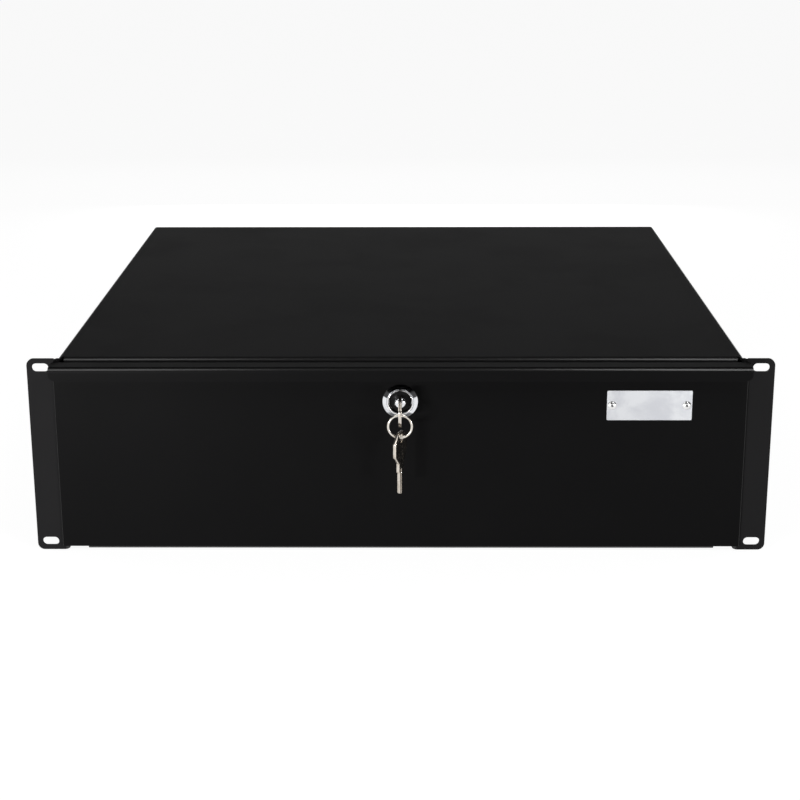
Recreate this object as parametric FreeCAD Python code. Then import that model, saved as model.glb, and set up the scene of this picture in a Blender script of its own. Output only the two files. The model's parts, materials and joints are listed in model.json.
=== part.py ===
import FreeCAD, Part
import math
import os
from FreeCAD import Vector

# A lockable sliding drawer for a 19 inch equipment rack, three rack units high, in millimetres.
# +X is to the right as seen from the front, -Y is the front and +Z is up. The origin is the centre
# of the slots in the rack ears, on the ears' rear face, which is the face that meets the rack.

# ---------------------------------------------------------------- rack fit
rack_unit = 44.45
units = 3
unit_clearance = 0.85            # what an ear gives up of its rack space, so that neighbours clear
ear_width = 482.6                # across both ears
ear_projection = 19.05           # how far an ear stands out from the housing's side
slot_to_ear_edge = 8.75          # centre of a slot, from the ear's outer edge
slot_to_unit_edge = 6.35         # outermost hole of a rack unit, from the unit's edge
slot_width = 5.7
slot_length = 10.8
ear_corner = 4.5

# ---------------------------------------------------------------- housing
housing_depth = 400.0            # from the ears' front face to the back
housing_sheet = 1.5
housing_bend = 1.5               # inside radius of each bend
top_below_ear = 0.4
strike_lip_set_back = 2.0        # top front flange, behind the ears' rear face
strike_lip_drop = 14.0
bottom_return = 12.0
bottom_relief = 6.0              # length at the front that the bottom return leaves free
relief_gap = 1.5
rear_flange = 15.0
rear_rivet_inset = 26.1          # outer rivets of the rear panel, from the top and bottom of the ears
fit_gap = 0.3                    # between pieces that only lie near each other

# ---------------------------------------------------------------- ball-bearing slides
slide_front = 8.0                # front end of the outer members
slide_rear_space = 39.0          # from their back end to the rear panel
slide_above_base = 50.0          # middle of the slides, above the bottom of the ears
slide_thickness = 12.7
slide_height = 45.0
slide_sheet = 1.2
slide_bend = 0.6
ball_radius = 1.6
ball_clearance = 0.05
race_depth = 0.3
ball_row_inset = 7.4             # ball rows, from the housing wall
balls_per_row = 5
ball_pitch = 30.0
cage_sheet = 0.6
cage_length = 150.0
cage_gap = 0.3                   # between a cage's web and the members beside it
lip_gap = 0.3                    # between the lips of two members that pass each other
lip_overhang = 0.8               # how far a member's lip stops short of the member inside it
bumper_length = 8.0
bumper_height = 24.0
screw_inset = 35.0               # slide screws, from the ends of a member
web_slot_length = 14.0
web_slot_width = 5.0
web_slot_offset = 7.0            # from the middle of the slide

# ---------------------------------------------------------------- drawer
panel_overlap = 2.0              # how far the panel covers each ear
panel_sheet = 1.5
panel_bend = 1.5
panel_gap = 0.5                  # between the ears and the back of the panel
panel_base_gap = 0.95            # panel's lowest fold, above the bottom of the ears
panel_notch = 2.2                # how much shorter the panel is beside that fold
panel_corner = 1.0
panel_edge_round = 0.6
fold_side_gap = 3.0              # bottom fold, inside the housing's bottom returns
fold_depth = 17.5
lip_reach = 13.5                 # grip lip, forward of the panel's front face
lip_below_ear = 1.5
lip_height = 8.7
lip_corner = 4.0
tray_sheet = 1.2
tray_bend = 1.2
tray_top_space = 19.5            # from the tray's top edge to the strike lip
tray_rear_space = 25.0           # from the tray's back wall to the rear panel
tray_top_return = 8.0
tray_front_flange = 14.0
flange_relief = 5.6              # behind the front flanges' bends, before the folds of the sides begin
tray_back_flange = 14.0
flange_share = 0.6               # place of studs and floor rivets across their flanges
stud_spread = 0.36               # outer studs, from the middle, as a share of the tray's height
tray_rivet_inset = 14.0          # tray rivets, from the tray's top and bottom

# ---------------------------------------------------------------- lock and keys
lock_below_top = 28.1            # lock axis, below the top of the ears
lock_barrel_radius = 9.0
lock_barrel_length = 19.3
lock_barrel_wall = 3.0           # round the plug's bore
lock_flat_depth = 1.0            # each flat on the barrel, in from the round
lock_bezel_overhang = 2.4        # bezel's edge, out from the barrel
lock_bezel_height = 2.6
lock_recess_wall = 0.5           # between the bezel's recess and the barrel's flats
lock_recess_depth = 2.5
collar_height = 1.6
nose_wall = 1.35                 # round the keyway
nose_reach = 4.5                 # plug's nose, in front of the panel
running_clearance = 0.08
cam_thickness = 2.0
cam_top_gap = 2.7                # between the turned cam's tip and the strike plate above it
cam_width = 15.0
cam_square = 7.0
lock_nut_wall = 2.0              # round the barrel, at the middle of each flat
lock_nut_thickness = 3.5
strike_gap = 0.8                 # between the turned cam and the strike
strike_width = 50.0
strike_overlap = 10.0
key_thickness = 2.0
key_end_width = 7.2
key_hole_radius = 2.9
key_hole_inset = 4.2             # centre of the hole, from the key's outer end
key_shoulder = 5.3               # from the outer end to where the bow is at its widest
key_bow_length = 20.5
key_bow_width = 18.0
key_bow_taper = 5.8              # length over which the bow narrows to the neck
key_neck_length = 6.0
key_neck_width = 7.0
key_blade_length = 15.0
key_blade_width = 4.6
key_stop_gap = 0.3               # between the neck's end and the nose
key_clearance = 0.15
key_cut_depths = [0.8, 1.3, 0.6, 1.1, 0.7]
key_cut_start = 1.6              # first cut, from the neck's end
key_cut_pitch = 2.4
key_groove_depth = 0.5
ring_radius = 7.5
ring_wire_radius = 0.65
ring_seat_offset = 0.2           # ring's wire, off the centre of each key hole
spare_key_turn = 68.0            # degrees that the hanging key has turned about its own length

# ---------------------------------------------------------------- nameplate
plate_width = 55.0
plate_height = 20.0
plate_thickness = 0.8
plate_from_side = 63.15          # centre of the plate, from the panel's right-hand edge
plate_below_top = 30.7           # centre of the plate, below the top of the ears
plate_rivet_inset = 3.4          # centre of each rivet, from the plate's end
plate_rivet_head = 2.85

# ---------------------------------------------------------------- fasteners
rivet_radius = 1.6
rivet_head_radius = 3.2
rivet_head_height = 0.9
rivet_tail_radius = 2.2
rivet_tail_length = 1.4
rivet_bore_radius = 0.8
screw_radius = 2.0
screw_head_radius = 4.0
screw_head_height = 2.4
nut_flats = 7.0
nut_thickness = 3.2
stud_length = 9.0
hole_clearance = 0.05
wall_hole_clearance = 0.15

# ---------------------------------------------------------------- release levers
lever_thickness = 3.2
lever_hub_radius = 5.0
lever_arm = 42.0
lever_arm_width = 7.0
lever_pivot_radius = 2.0
lever_pivot_behind = 168.0       # lever pivots, behind the front of the slides

# ---------------------------------------------------------------- places worked out from these
ear_height = units * rack_unit - unit_clearance
ear_top = ear_height / 2
ear_bottom = -ear_height / 2
slot_spacing_x = ear_width - 2 * slot_to_ear_edge
slot_spacing_z = units * rack_unit - 2 * slot_to_unit_edge
housing_top = ear_top - top_below_ear
housing_back = housing_depth - housing_sheet
housing_bend_outer = housing_bend + housing_sheet
rear_panel_front = housing_back - housing_sheet
wall_outer = ear_width / 2 - ear_projection
wall_inner = wall_outer - housing_sheet
strike_lip_front = strike_lip_set_back
strike_lip_bottom = housing_top - strike_lip_drop

slide_z = ear_bottom + slide_above_base
slide_back = rear_panel_front - slide_rear_space
bumper_front = slide_back - bumper_length
moving_member_back = bumper_front - 2 * fit_gap
moving_member_middle = (slide_front + moving_member_back) / 2

panel_back = -housing_sheet - panel_gap
panel_front = panel_back - panel_sheet
panel_bottom = ear_bottom + panel_base_gap
panel_bend_outer = panel_bend + panel_sheet
lip_front = panel_front - lip_reach
lip_top = ear_top - lip_below_ear
panel_half_width = wall_outer + panel_overlap
fold_half_width = wall_outer - bottom_return - fold_side_gap

tray_half_width = wall_inner - slide_thickness
tray_bend_outer = tray_bend + tray_sheet
tray_bottom = panel_bottom + panel_sheet
tray_top = strike_lip_bottom - tray_top_space
tray_back = rear_panel_front - tray_rear_space
tray_height = tray_top - tray_bottom

lock_z = ear_top - lock_below_top
lock_bore_radius = lock_barrel_radius - lock_barrel_wall
lock_flat = lock_barrel_radius - lock_flat_depth
lock_bezel_radius = lock_barrel_radius + lock_bezel_overhang
lock_recess_radius = lock_flat - lock_recess_wall
nose_radius = key_blade_width / 2 + key_clearance + nose_wall
barrel_back = panel_front + lock_barrel_length
cam_front = barrel_back + 2 * running_clearance
cam_back = cam_front + cam_thickness
strike_back = cam_front - strike_gap
strike_top = housing_top - housing_sheet
cam_reach = strike_top - housing_sheet - cam_top_gap - lock_z
strike_bottom = lock_z + cam_reach - strike_overlap
nose_front = panel_front - nose_reach
plate_z = ear_top - plate_below_top
plate_centre_x = panel_half_width - plate_from_side

# ball rows and member edges, as distances v above or below the middle of a slide
outer_member_v = slide_height / 2
outer_row_v = outer_member_v - slide_sheet + race_depth - ball_clearance - ball_radius
middle_member_v = outer_row_v - ball_radius - ball_clearance + race_depth
inner_row_v = middle_member_v - slide_sheet + race_depth - ball_clearance - ball_radius
inner_member_v = inner_row_v - ball_radius - ball_clearance + race_depth

# member and cage webs, as distances u from the housing wall to the middle of the sheet
outer_cage_u = slide_sheet + cage_gap + cage_sheet / 2
middle_web_u = slide_sheet + cage_gap * 2 + cage_sheet + slide_sheet / 2
inner_cage_u = middle_web_u + slide_sheet / 2 + cage_gap + cage_sheet / 2
inner_web_u = slide_thickness - slide_sheet / 2
outer_lip_u = slide_thickness - slide_sheet - slide_sheet / 2
middle_lip_u = outer_lip_u - lip_gap
inner_member_edge_u = ball_row_inset - ball_radius - 2 * race_depth


# ---------------------------------------------------------------- shape helpers
def in_plane(plane, height):
    """The 3-D place of a flat outline's point, with the outline at this height on the third axis."""
    if plane == "XZ":
        return lambda a, b: Vector(a, height, b)
    if plane == "YZ":
        return lambda a, b: Vector(height, a, b)
    return lambda a, b: Vector(a, b, height)


def along_third(plane, length):
    return {"XZ": Vector(0, length, 0), "YZ": Vector(length, 0, 0), "XY": Vector(0, 0, length)}[plane]


def block(x, y, z):
    """A box between two values of x, of y and of z."""
    (x0, x1), (y0, y1), (z0, z1) = sorted(x), sorted(y), sorted(z)
    return Part.makeBox(x1 - x0, y1 - y0, z1 - z0, Vector(x0, y0, z0))


def rod(radius, start, direction, length):
    return Part.makeCylinder(radius, length, Vector(*start), Vector(*direction))


def unit(a, b):
    size = math.hypot(a, b)
    return a / size, b / size


def add_line(edges, place, start, end):
    if math.dist(start, end) > 1e-6:
        edges.append(Part.makeLine(place(*start), place(*end)))


def rounded_face(plane, corners, height):
    """A flat face with straight sides, whose corners are (a, b, radius)."""
    place = in_plane(plane, height)
    edges = []
    joints = []
    for n, (a, b, radius) in enumerate(corners):
        before, after = corners[n - 1], corners[(n + 1) % len(corners)]
        back = unit(before[0] - a, before[1] - b)
        ahead = unit(after[0] - a, after[1] - b)
        if radius == 0:
            joints.append(((a, b), None, (a, b)))
            continue
        half = math.acos(max(-1, min(1, back[0] * ahead[0] + back[1] * ahead[1]))) / 2
        middle = unit(back[0] + ahead[0], back[1] + ahead[1])
        run = radius / math.tan(half)
        reach = radius / math.sin(half) - radius
        joints.append((
            (a + back[0] * run, b + back[1] * run),
            (a + middle[0] * reach, b + middle[1] * reach),
            (a + ahead[0] * run, b + ahead[1] * run),
        ))
    for n, (start, middle, end) in enumerate(joints):
        add_line(edges, place, joints[n - 1][2], start)
        if middle:
            edges.append(Part.Arc(place(*start), place(*middle), place(*end)).toShape())
    return Part.Face(Part.Wire(Part.__sortEdges__(edges)))


def plate(plane, corners, low, high):
    """A flat plate with rounded corners, from low to high on the third axis."""
    return rounded_face(plane, corners, low).extrude(along_third(plane, high - low))


def slot_corners(a, b, length, width):
    """The corners of a round-ended slot about (a, b)."""
    end, side, radius = length / 2, width / 2, width / 2
    return [(a - end, b - side, radius), (a + end, b - side, radius),
            (a + end, b + side, radius), (a - end, b + side, radius)]


def bent_sheet(plane, bends, sheet, inside_radius, low, high):
    """Sheet metal that follows a line through the middle of its thickness and turns at each bend."""
    place = in_plane(plane, low)
    middle_radius = inside_radius + sheet / 2
    faces = []
    for side in (sheet / 2, -sheet / 2):
        edges = []
        here = None
        for n, (a, b) in enumerate(bends):
            towards = unit(a - bends[n - 1][0], b - bends[n - 1][1]) if n else None
            away = unit(bends[n + 1][0] - a, bends[n + 1][1] - b) if n + 1 < len(bends) else None
            if towards is None:
                here = (a - away[1] * side, b + away[0] * side)
                start = here
                continue
            if away is None:
                end = (a - towards[1] * side, b + towards[0] * side)
                add_line(edges, place, here, end)
                continue
            turn = math.atan2(towards[0] * away[1] - towards[1] * away[0],
                              towards[0] * away[0] + towards[1] * away[1])
            left = math.copysign(1, turn)
            run = middle_radius * math.tan(abs(turn) / 2)
            first = (a - towards[0] * run, b - towards[1] * run)
            centre = (first[0] - towards[1] * left * middle_radius,
                      first[1] + towards[0] * left * middle_radius)
            out = unit(towards[1] + away[1], -towards[0] - away[0])
            radius = middle_radius - left * side
            before = (first[0] - towards[1] * side, first[1] + towards[0] * side)
            top = (centre[0] + out[0] * left * radius, centre[1] + out[1] * left * radius)
            after = (a + away[0] * run - away[1] * side, b + away[1] * run + away[0] * side)
            add_line(edges, place, here, before)
            edges.append(Part.Arc(place(*before), place(*top), place(*after)).toShape())
            here = after
        faces.append((start, end, edges))
    (start_a, end_a, edges_a), (start_b, end_b, edges_b) = faces
    edges = edges_a + edges_b
    add_line(edges, place, start_a, start_b)
    add_line(edges, place, end_a, end_b)
    outline = Part.Face(Part.Wire(Part.__sortEdges__(edges)))
    return outline.extrude(along_third(plane, high - low))


def turned(start, steps, base, direction):
    """A turned piece. Points are (distance along the axis, radius), and a step of two is an arc."""
    edges = []
    here = start
    for step in [*steps, start]:
        arc = isinstance(step[0], tuple)
        there = step[1] if arc else step
        ends = [Vector(radius, 0, along) for along, radius in (here, there)]
        if arc:
            edges.append(Part.Arc(ends[0], Vector(step[0][1], 0, step[0][0]), ends[1]).toShape())
        else:
            edges.append(Part.makeLine(*ends))
        here = there
    solid = Part.Face(Part.Wire(edges)).revolve(Vector(0, 0, 0), Vector(0, 0, 1), 360)
    solid.Placement = FreeCAD.Placement(
        Vector(*base), FreeCAD.Rotation(Vector(0, 0, 1), Vector(*direction)))
    return solid


def one(shape):
    """The only solid of a shape, with the seams between its merged faces removed."""
    solids = shape.removeSplitter().Solids
    if len(solids) != 1:
        raise ValueError(f"expected one solid, found {len(solids)}")
    return solids[0]


def mirrored(solids):
    return [solid.mirror(Vector(0, 0, 0), Vector(1, 0, 0)) for solid in solids]


def both_sides(solids):
    return [*solids, *mirrored(solids)]


written = {}


def save(name, solids):
    """Write one sub-part, which is a solid or a group of equal ones."""
    solids = solids if isinstance(solids, list) else [solids]
    shape = solids[0] if len(solids) == 1 else Part.makeCompound(solids)
    shape.exportStep(os.path.join("parts", name + ".step"))
    written[name] = solids


# ---------------------------------------------------------------- fasteners
def blind_rivet(seat, direction, grip, head_radius=rivet_head_radius):
    """A domed blind rivet whose head sits at the seat and whose tail closes behind the grip."""
    top = -rivet_head_height
    return turned(
        (grip + rivet_tail_length, 0),
        [(grip + rivet_tail_length, rivet_radius), (grip, rivet_tail_radius), (grip, rivet_radius),
         (0, rivet_radius), (0, head_radius), ((top * 0.7, head_radius * 0.68), (top, rivet_bore_radius)),
         (top / 2, rivet_bore_radius), (top / 2, 0)],
        seat, direction)


def pan_screw(seat, direction, length):
    """A pan-head screw whose head sits at the seat."""
    top = -screw_head_height
    return turned(
        (top, 0),
        [(top, screw_head_radius * 0.6), (top * 0.5, screw_head_radius), (0, screw_head_radius),
         (0, screw_radius), (length, screw_radius), (length, 0)],
        seat, direction)


def hexagon(flats, axis_place, thickness, hole_radius):
    """A hexagonal nut about an axis along Y, from its front face backwards."""
    x, y, z = axis_place
    corner = flats / math.sqrt(3)
    corners = [(x + corner * math.cos(math.radians(60 * n)), z + corner * math.sin(math.radians(60 * n)), 0)
               for n in range(6)]
    body = plate("XZ", corners, y, y + thickness)
    return one(body.cut(rod(hole_radius, (x, y - 1, z), (0, 1, 0), thickness + 2)))


# ---------------------------------------------------------------- housing
def slide_screw_places():
    return [slide_front + screw_inset, (slide_front + moving_member_back) / 2,
            moving_member_back - screw_inset]


def rear_rivet_places():
    height = ear_height / 2 - rear_rivet_inset
    return [(housing_back - rear_flange / 2, z) for z in (-height, 0, height)]


def ear(side):
    """One rack ear with its two slots, and the bend that joins it to the side wall."""
    inner, outer = side * (wall_outer + housing_bend), side * ear_width / 2
    corners = [(inner, ear_bottom, 0), (outer, ear_bottom, ear_corner),
               (outer, ear_top, ear_corner), (inner, ear_top, 0)]
    blade = plate("XZ", corners, -housing_sheet, 0)
    for z in (-slot_spacing_z / 2, slot_spacing_z / 2):
        corners = slot_corners(side * slot_spacing_x / 2, z, slot_length, slot_width)
        blade = blade.cut(plate("XZ", corners, -2 * housing_sheet, housing_sheet))
    wall_middle = side * (wall_outer - housing_sheet / 2)
    bend = bent_sheet("XY", [(wall_middle, bottom_relief), (wall_middle, -housing_sheet / 2),
                             (inner, -housing_sheet / 2)],
                      housing_sheet, housing_bend, ear_bottom, housing_top - housing_bend_outer)
    corner = bent_sheet("XY", [(wall_middle, housing_bend), (wall_middle, -housing_sheet / 2),
                               (inner, -housing_sheet / 2)],
                        housing_sheet, housing_bend, ear_bottom, housing_top)
    return blade.fuse([bend, corner])


def housing_shell():
    """Top, side walls, ears, front strike lip and bottom returns, bent from one sheet."""
    half = housing_sheet / 2
    wall, top, bottom = wall_outer - half, housing_top - half, ear_bottom + half
    edge = wall_outer - bottom_return
    section = [(-edge, bottom), (-wall, bottom), (-wall, top), (wall, top), (wall, bottom), (edge, bottom)]
    shell = bent_sheet("XZ", section, housing_sheet, housing_bend, housing_bend, housing_back)
    corner = wall_outer - housing_bend_outer
    lip_bend_end = strike_lip_front + housing_bend_outer
    shell = shell.cut(block((-corner, corner), (0, lip_bend_end), (housing_top - 5, housing_top + 5)))
    for side in (-1, 1):
        shell = shell.cut(block((side * (edge - 1), side * (wall_outer + 1)), (0, bottom_relief),
                                (ear_bottom - 1, ear_bottom + housing_bend_outer)))
        shell = shell.fuse(ear(side))
    lip = bent_sheet("YZ", [(lip_bend_end, top), (strike_lip_front + half, top),
                            (strike_lip_front + half, strike_lip_bottom)],
                     housing_sheet, housing_bend, relief_gap - corner, corner - relief_gap)
    shell = shell.fuse(lip)
    reach = housing_sheet * 3
    for side in (-1, 1):
        for y in slide_screw_places():
            shell = shell.cut(rod(screw_radius + wall_hole_clearance,
                                  (side * (wall_inner - 1), y, slide_z), (side, 0, 0), reach))
        for y, z in rear_rivet_places():
            shell = shell.cut(rod(rivet_radius + hole_clearance,
                                  (side * (wall_inner - 1), y, z), (side, 0, 0), reach))
    return one(shell)


def rear_panel():
    """The back of the housing, with a flange against each side wall."""
    half = housing_sheet / 2
    x, y = wall_inner - half, housing_back - half
    front = housing_back - rear_flange
    low, high = ear_bottom + housing_sheet + fit_gap, housing_top - housing_sheet
    panel = bent_sheet("XY", [(-x, front), (-x, y), (x, y), (x, front)],
                       housing_sheet, housing_bend, low, high)
    radius = housing_bend + fit_gap
    inside = [(-wall_inner, low, radius), (wall_inner, low, radius),
              (wall_inner, high, radius), (-wall_inner, high, radius)]
    panel = panel.common(plate("XZ", inside, front - 1, housing_back + 1))
    for side in (-1, 1):
        for y, z in rear_rivet_places():
            panel = panel.cut(rod(rivet_radius + hole_clearance,
                                  (side * (wall_inner - 5), y, z), (side, 0, 0), 10))
    return one(panel)


def lock_strike():
    """The angle under the top plate that the lock's cam turns up behind."""
    half = housing_sheet / 2
    z = strike_top - half
    front = strike_lip_front + housing_bend_outer + fit_gap
    return one(bent_sheet("YZ", [(front, z), (strike_back - half, z), (strike_back - half, strike_bottom)],
                          housing_sheet, housing_bend, -strike_width / 2, strike_width / 2))


# ---------------------------------------------------------------- slides, right-hand side
def member(lip_u, web_u, edge_v, lip_v, sheet, radius, front, back):
    """A C-shaped strip: a web, two flanges, and a lip at each flange's edge if lip_v is given."""
    x_edge, x_web, v = wall_inner - lip_u, wall_inner - web_u, edge_v - sheet / 2
    bends = [(x_edge, slide_z + v), (x_web, slide_z + v), (x_web, slide_z - v), (x_edge, slide_z - v)]
    if lip_v is not None:
        bends = [(x_edge, slide_z + lip_v), *bends, (x_edge, slide_z - lip_v)]
    return bent_sheet("XZ", bends, sheet, radius, front, back)


def race(row_v, front, back):
    """The two grooves that one pair of ball rows runs in."""
    x = wall_inner - ball_row_inset
    radius = ball_radius + ball_clearance
    return [rod(radius, (x, front - 1, slide_z + v), (0, 1, 0), back - front + 2)
            for v in (-row_v, row_v)]


def ball_places(row_v):
    x = wall_inner - ball_row_inset
    first = moving_member_middle - ball_pitch * (balls_per_row - 1) / 2
    return [Vector(x, first + ball_pitch * n, slide_z + v)
            for v in (-row_v, row_v) for n in range(balls_per_row)]


def web_slots(web_side, screws, rows):
    """Spare mounting slots in a member's web, before and behind the middle screw."""
    slots = []
    for y in ((screws[0] + screws[1]) / 2, (screws[1] + screws[2]) / 2):
        for row in rows:
            corners = slot_corners(y, slide_z + row * web_slot_offset, web_slot_length, web_slot_width)
            slots.append(plate("YZ", corners, web_side - 1, web_side + slide_sheet + 1))
    return slots


def outer_member():
    lip_v = middle_member_v + lip_overhang
    shape = member(outer_lip_u, slide_sheet / 2, outer_member_v, lip_v, slide_sheet, slide_bend,
                   slide_front, slide_back)
    holes = [rod(screw_radius + hole_clearance, (wall_inner - 5, y, slide_z), (1, 0, 0), 10)
             for y in slide_screw_places()]
    holes += web_slots(wall_inner - slide_sheet, slide_screw_places(), (-1, 1))
    return one(shape.cut(race(outer_row_v, slide_front, slide_back) + holes))


def middle_member():
    lip_v = inner_member_v + lip_overhang
    shape = member(middle_lip_u, middle_web_u, middle_member_v, lip_v, slide_sheet, slide_bend,
                   slide_front, moving_member_back)
    races = race(outer_row_v, slide_front, slide_back) + race(inner_row_v, slide_front, slide_back)
    slots = web_slots(wall_inner - middle_web_u - slide_sheet / 2, slide_screw_places(), (0,))
    return one(shape.cut(races + slots))


def lever_pivot_place():
    return slide_front + lever_pivot_behind, slide_z


def inner_member():
    shape = member(inner_member_edge_u, inner_web_u, inner_member_v, None, slide_sheet, slide_bend,
                   slide_front, moving_member_back)
    y_pivot, z_pivot = lever_pivot_place()
    start = wall_inner - slide_thickness - 1
    holes = [rod(screw_radius + hole_clearance, (start, y, slide_z), (1, 0, 0), 4)
             for y in tray_screw_places()]
    holes.append(rod(lever_pivot_radius + hole_clearance, (start, y_pivot, z_pivot), (1, 0, 0), 4))
    holes += web_slots(wall_inner - slide_thickness, tray_screw_places(), (-1, 1))
    return one(shape.cut(race(inner_row_v, slide_front, slide_back) + holes))


def ball_cage(row_v, web_u, edge_u):
    """A strip that keeps two rows of balls apart, with a hole for each ball."""
    front = moving_member_middle - cage_length / 2
    shape = member(edge_u, web_u, row_v + cage_sheet / 2, None, cage_sheet, cage_sheet / 2,
                   front, front + cage_length)
    holes = [rod(ball_radius + 2 * ball_clearance, (p.x, p.y, p.z - 1), (0, 0, 1), 2)
             for p in ball_places(row_v)]
    return one(shape.cut(holes))


def balls(row_v):
    return [Part.makeSphere(ball_radius, p) for p in ball_places(row_v)]


def slide_bumper():
    """The soft stop at the back of an outer member."""
    depth = ball_row_inset + ball_radius
    corners = [(bumper_front, slide_z - bumper_height / 2, 2), (slide_back, slide_z - bumper_height / 2, 0),
               (slide_back, slide_z + bumper_height / 2, 0), (bumper_front, slide_z + bumper_height / 2, 2)]
    return plate("YZ", corners, wall_inner - depth, wall_inner - slide_sheet)


def housing_slide_screws():
    grip = housing_sheet + slide_sheet
    return [pan_screw((wall_outer, y, slide_z), (-1, 0, 0), grip) for y in slide_screw_places()]


# ---------------------------------------------------------------- release levers, right-hand side
def lever_side():
    """The lever's face nearest the drawer."""
    return wall_inner - slide_thickness + slide_sheet + fit_gap


def release_lever():
    """The tongue inside the drawer's slide member that is pressed to take the drawer out."""
    y, z = lever_pivot_place()
    arm, low = lever_arm_width / 2, lever_side()
    tip = y - lever_arm
    corners = [(y, z - arm, 0), (y, z + arm, 0), (tip + 9, z + arm * 0.7, 3), (tip + 6, z + arm * 1.5, 1),
               (tip, z + arm * 1.5, 1), (tip, z - arm * 0.8, 1.5)]
    body = plate("YZ", corners, low, low + lever_thickness)
    hub = rod(lever_hub_radius, (low, y, z), (1, 0, 0), lever_thickness)
    bore = rod(lever_pivot_radius + running_clearance, (low - 1, y, z), (1, 0, 0), lever_thickness + 2)
    return one(body.fuse(hub).cut(bore))


def lever_pivot():
    """The shouldered pin that holds a release lever on its slide member."""
    y, z = lever_pivot_place()
    seat = wall_inner - slide_thickness
    shank = slide_sheet + lever_thickness + 2 * fit_gap
    return turned((0, 0), [(0, lever_pivot_radius), (shank, lever_pivot_radius),
                           (shank, lever_pivot_radius * 1.7), (shank + 0.7, lever_pivot_radius * 1.5),
                           (shank + 0.7, 0)], (seat, y, z), (1, 0, 0))


# ---------------------------------------------------------------- drawer
def stud_places():
    x = tray_half_width - tray_front_flange * flange_share
    middle = (tray_bottom + tray_top) / 2
    reach = tray_height * stud_spread
    return [(side * x, z) for side in (-1, 1) for z in (middle - reach, middle, middle + reach)]


def floor_rivet_places():
    step = fold_half_width * 2 / 4
    y = panel_back + fold_depth * flange_share
    return [(steps * step, y) for steps in (-1.5, -0.5, 0.5, 1.5)]


def tray_rivet_places():
    y = tray_back - tray_back_flange / 2
    return [(y, tray_bottom + tray_rivet_inset), (y, tray_top - tray_rivet_inset)]


def tray_screw_places():
    return [slide_front + screw_inset * 1.5, moving_member_middle + screw_inset,
            moving_member_back - screw_inset * 1.5]


def drawer_front():
    """The front panel with its grip lip along the top and a fold under the tray along the bottom."""
    half = panel_sheet / 2
    bends = [(panel_back + fold_depth, panel_bottom + half), (panel_front + half, panel_bottom + half),
             (panel_front + half, lip_top - half), (lip_front + half, lip_top - half),
             (lip_front + half, lip_top - lip_height)]
    side = panel_half_width
    panel = bent_sheet("YZ", bends, panel_sheet, panel_bend, -side, side)
    notch_top = panel_bottom + panel_bend_outer + panel_corner
    lip_bottom = lip_top - lip_height
    cuts = []
    for sign in (-1, 1):
        edge, beyond, fold = sign * side, sign * (side + 1), sign * fold_half_width
        panel = panel.cut(block((fold, beyond), (panel_front - 1, panel_back + fold_depth + 1),
                                (panel_bottom - 1, notch_top)))
        low = panel_bottom + panel_notch
        corners = [(fold, notch_top, 0), (fold, low, 0), (edge, low, panel_corner), (edge, notch_top, 0)]
        panel = panel.fuse(plate("XZ", corners, panel_front, panel_back))
        centre_x, centre_z = sign * (side - lip_corner), lip_bottom + lip_corner
        corner = block((centre_x, beyond), (lip_front - 1, lip_front + panel_sheet + 1),
                       (lip_bottom - 1, centre_z))
        cuts.append(corner.cut(rod(lip_corner, (centre_x, lip_front - 2, centre_z), (0, 1, 0),
                                   panel_sheet + 4)))
        centre_x, centre_y = sign * (side - panel_edge_round), panel_front + panel_edge_round
        low, high = panel_bottom - 1, lip_top - panel_bend_outer
        corner = block((centre_x, beyond), (panel_front - 1, centre_y), (low, high))
        cuts.append(corner.cut(rod(panel_edge_round, (centre_x, centre_y, low - 1), (0, 0, 1),
                                   high - low + 2)))
    panel = panel.cut(cuts)
    round_hole = rod(lock_barrel_radius + wall_hole_clearance, (0, panel_front - 1, lock_z), (0, 1, 0),
                     panel_sheet + 2)
    flat_sides = plate("XZ", [(x, z, 0) for x, z in lock_hole_square()], panel_front - 1, panel_back + 1)
    holes = [round_hole.common(flat_sides)]
    holes += [rod(rivet_radius + hole_clearance, (x, panel_front - 1, plate_z), (0, 1, 0), 4)
              for x in plate_rivet_places()]
    holes += [rod(rivet_radius + hole_clearance, (x, y, panel_bottom - 1), (0, 0, 1), 4)
              for x, y in floor_rivet_places()]
    return one(panel.cut(holes))


def lock_hole_square():
    """The slab that gives the lock's hole its two flats."""
    x = lock_flat + wall_hole_clearance
    z = lock_barrel_radius + 2
    return [(-x, lock_z - z), (x, lock_z - z), (x, lock_z + z), (-x, lock_z + z)]


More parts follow.
